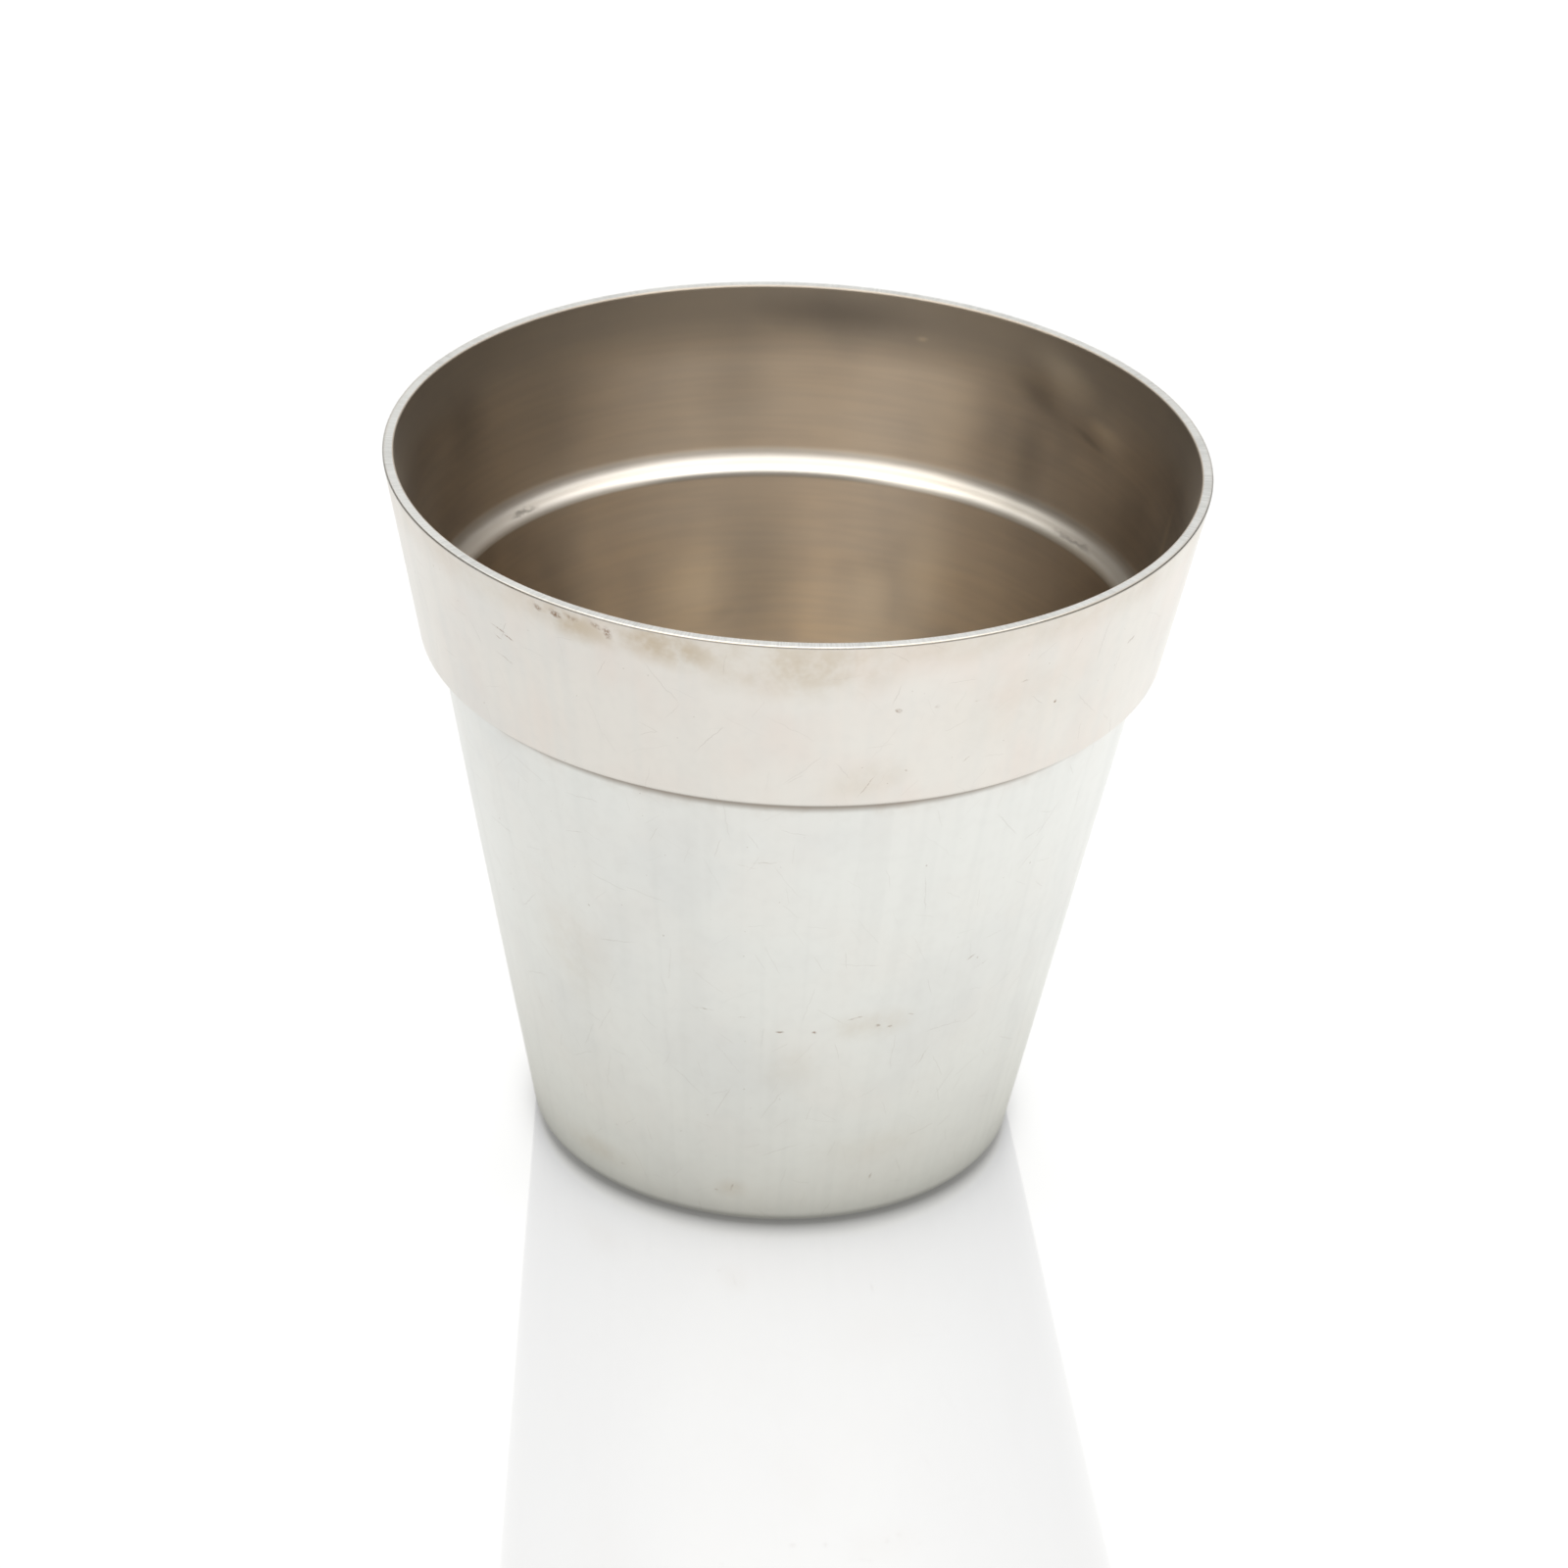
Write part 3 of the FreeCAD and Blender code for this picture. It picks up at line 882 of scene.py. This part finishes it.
def seen_table(n, place, right, toward, halo, contact):
    """The table as the camera sees it: a glowing matt sheet under a gloss."""
    halo = n.times(halo, n.span(n.vector("DOT_PRODUCT", place, toward), 0.0, HALO_FRONT))
    near = n.plus(1.0, halo, -HALO_DEPTH)
    near = n.plus(near, contact, -CONTACT_SEEN_DEPTH)
    glow = n.add("ShaderNodeEmission", {"Color": colour(1, 1, 1), "Strength": n.times(near, TABLE_GLOW)})
    matt = n.add("ShaderNodeBsdfDiffuse", {"Color": TABLE_MATT})
    base = n.add("ShaderNodeAddShader", {0: matt.outputs[0], 1: glow.outputs[0]})
    lean = n.vector("ADD", n.scale(right, -LEAN_ASIDE), n.scale(toward, -LEAN_AWAY))
    normal = n.vector("NORMALIZE", n.vector("ADD", lean, UP))
    gloss = n.add(
        "ShaderNodeBsdfGlossy",
        {"Color": colour(1, 1, 1), "Roughness": TABLE_ROUGH, "Normal": normal},
    )
    fresnel = n.add("ShaderNodeFresnel", {"IOR": TABLE_IOR}).outputs[0]
    share = n.math("MULTIPLY", fresnel, TABLE_GLOSS, clamp=True)
    return n.add("ShaderNodeMixShader", {0: share, 1: base.outputs[0], 2: gloss.outputs[0]}).outputs[0]


def floor_material():
    """White glossy table top. From below it can be seen through."""
    material, n = empty_material("white_table")
    place = n.add("ShaderNodeTexCoord").outputs["Object"]
    right, toward = camera_sides(n)
    from_foot = n.math("MAXIMUM", n.math("SUBTRACT", n.vector("LENGTH", place), FOOT_RADIUS), 0.0)
    contact = n.fading(from_foot, CONTACT_REACH)
    mirrored = mirrored_table(n, place, right, n.fading(from_foot, SHADE_REACH), contact)
    top = seen_table(n, place, right, toward, n.fading(from_foot, HALO_REACH), contact)
    seen = n.add("ShaderNodeLightPath").outputs["Is Camera Ray"]
    front = n.add("ShaderNodeMixShader", {0: seen, 1: mirrored, 2: top})
    clear = n.add("ShaderNodeBsdfTransparent")
    back = n.add("ShaderNodeNewGeometry").outputs["Backfacing"]
    both = n.add("ShaderNodeMixShader", {0: back, 1: front.outputs[0], 2: clear.outputs[0]})
    n.output(both.outputs[0])
    return material


def table():
    """A flat sheet with a hole where the pot's foot covers it."""
    verts, faces = [], []
    for i in range(TABLE_SIDES):
        a = 2 * math.pi * i / TABLE_SIDES
        verts.append((TABLE_HOLE * math.cos(a), TABLE_HOLE * math.sin(a), 0))
        verts.append((TABLE_REACH * math.cos(a), TABLE_REACH * math.sin(a), 0))
    for i in range(TABLE_SIDES):
        j = (i + 1) % TABLE_SIDES
        faces.append((2 * i, 2 * i + 1, 2 * j + 1, 2 * j))
    mesh = bpy.data.meshes.new("table")
    mesh.from_pydata(verts, [], faces)
    mesh.materials.append(floor_material())
    thing = bpy.data.objects.new("table", mesh)
    bpy.context.scene.collection.objects.link(thing)


# ---------------------------------------------------------------- studio

# degrees to the right of the direction behind the camera, half width, soft border, brightness
WINDOWS = [
    (0.0, 57.5, 3.0, 0.55),
    (-37.5, 20.0, 4.0, 0.62),
    (-31.0, 4.0, 3.0, 0.20),
    (53.0, 3.0, 2.0, 0.15),
    (32.0, 4.0, 3.0, 0.15),
]
WALL_LEVEL = 0.24
CEILING = (3.3, 3.28, 3.2)
ROOM = (0.56, 0.49, 0.40)
BACKDROP = colour(1.05, 1.05, 1.03)
LOW_ROOM = colour(0.80, 0.82, 0.86)

# where each part of the studio blends into the next, as sines of the elevation
ROOM_RISES = (0.0, 0.35)
LOW_ROOM_ENDS = (0.45, 0.28)
CEILING_STARTS = (0.45, 0.80)
FULL_CEILING_STARTS = (0.66, 0.88)
BACK_CEILING_STARTS = (0.52, 0.85)
# the backdrop's soft border, as angles from the direction behind the camera
BACKDROP_STARTS = (math.radians(135), math.radians(165))
# a ray that reaches the studio by way of the table and the pot is deeper than this
MIRRORED_BY_TABLE = 2.5


def front_light(n, turn, rise):
    """Walls with soft windows, under a ceiling."""
    level = WALL_LEVEL
    for middle, half, soft, gain in WINDOWS:
        border, core = math.radians(half + soft), math.radians(half - soft)
        level = n.plus(level, n.near(turn, math.radians(middle), border, core), gain)
    room = n.scale(ROOM, n.times(level, n.span(rise, *ROOM_RISES, 0.30, 1.0)))
    overhead = n.mix(n.span(rise, *FULL_CEILING_STARTS), n.scale(CEILING, level), colour(*CEILING))
    return n.mix(n.span(rise, *CEILING_STARTS), room, overhead)


def world():
    """White to the camera. The pot sees a soft ceiling, a white backdrop behind it and windows in front."""
    studio = bpy.data.worlds.new("studio")
    bpy.context.scene.world = studio
    studio.use_nodes = True
    n = Nodes(studio.node_tree)
    direction = n.add("ShaderNodeTexCoord").outputs["Generated"]
    rise = n.add("ShaderNodeSeparateXYZ", {0: direction}).outputs[2]
    right, toward = camera_sides(n)
    rightward = n.vector("DOT_PRODUCT", direction, right)
    turn = n.math("ARCTAN2", rightward, n.vector("DOT_PRODUCT", direction, toward))
    path = n.add("ShaderNodeLightPath").outputs

    backdrop = n.span(n.math("ABSOLUTE", turn), *BACKDROP_STARTS)
    back = n.mix(n.span(rise, *BACK_CEILING_STARTS), BACKDROP, colour(*CEILING))
    sky = n.mix(backdrop, front_light(n, turn, rise), back)

    # the room's low part is white to the outside of the pot as the table mirrors it
    mirrored = n.math("GREATER_THAN", path["Ray Depth"], MIRRORED_BY_TABLE)
    sky = n.mix(n.times(mirrored, n.span(rise, *LOW_ROOM_ENDS)), sky, LOW_ROOM)
    shown = n.mix(path["Is Camera Ray"], sky, colour(1, 1, 1))
    background = n.add("ShaderNodeBackground", {"Color": shown, "Strength": 1.0})
    n.output(background.outputs[0], "ShaderNodeOutputWorld")


# ---------------------------------------------------------------- camera

# degrees above the table, degrees of roll, distance from the pot's middle, lens and sensor in mm
ELEVATION = 29.0
ROLL = 2.49
DISTANCE = 864.4 * MM
LENS = 145.7
SENSOR = 36.0
FOCUS = 805.0 * MM
STOP = 50.0
NEAR_CLIP = 10.0 * MM


def camera():
    """Looks at the pot's middle from in front and above."""
    lens = bpy.data.cameras.new("camera")
    lens.lens = LENS
    lens.sensor_width = SENSOR
    lens.clip_start = NEAR_CLIP
    lens.dof.use_dof = True
    lens.dof.focus_distance = FOCUS
    lens.dof.aperture_fstop = STOP
    eye = bpy.data.objects.new("camera", lens)
    bpy.context.scene.collection.objects.link(eye)
    tilt = math.radians(ELEVATION)
    away = Vector((0.0, -math.cos(tilt), math.sin(tilt)))
    aim = (-away).to_track_quat("-Z", "Y").to_matrix().to_4x4()
    aim = aim @ Matrix.Rotation(math.radians(ROLL), 4, "Z")
    eye.rotation_mode = "QUATERNION"
    eye.rotation_quaternion = aim.to_quaternion()
    eye.location = (CAD_LOW + CAD_HIGH) / 2 + away * DISTANCE
    bpy.context.scene.camera = eye


# ---------------------------------------------------------------- the pot

def steel_number(corner):
    """Which steel a face wears by the corner it follows: 0 outside, 1 inside, 2 on the lip."""
    if corner == LIP_CORNER:
        return 2
    return 1 if corner > LIP_CORNER else 0


def pot():
    """The pot in its three steels, in place of the CAD shell."""
    mesh, tags = pot_mesh()
    for material in (outside_steel(), inside_steel(), lip_steel()):
        mesh.materials.append(material)
    mesh.polygons.foreach_set("material_index", [steel_number(tag) for tag in tags])
    thing = bpy.data.objects.new("steel_pot", mesh)
    bpy.context.scene.collection.objects.link(thing)
    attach(thing, "root")
    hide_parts(NODE)


pot()
table()
world()
camera()
bpy.context.scene.view_settings.view_transform = "Standard"
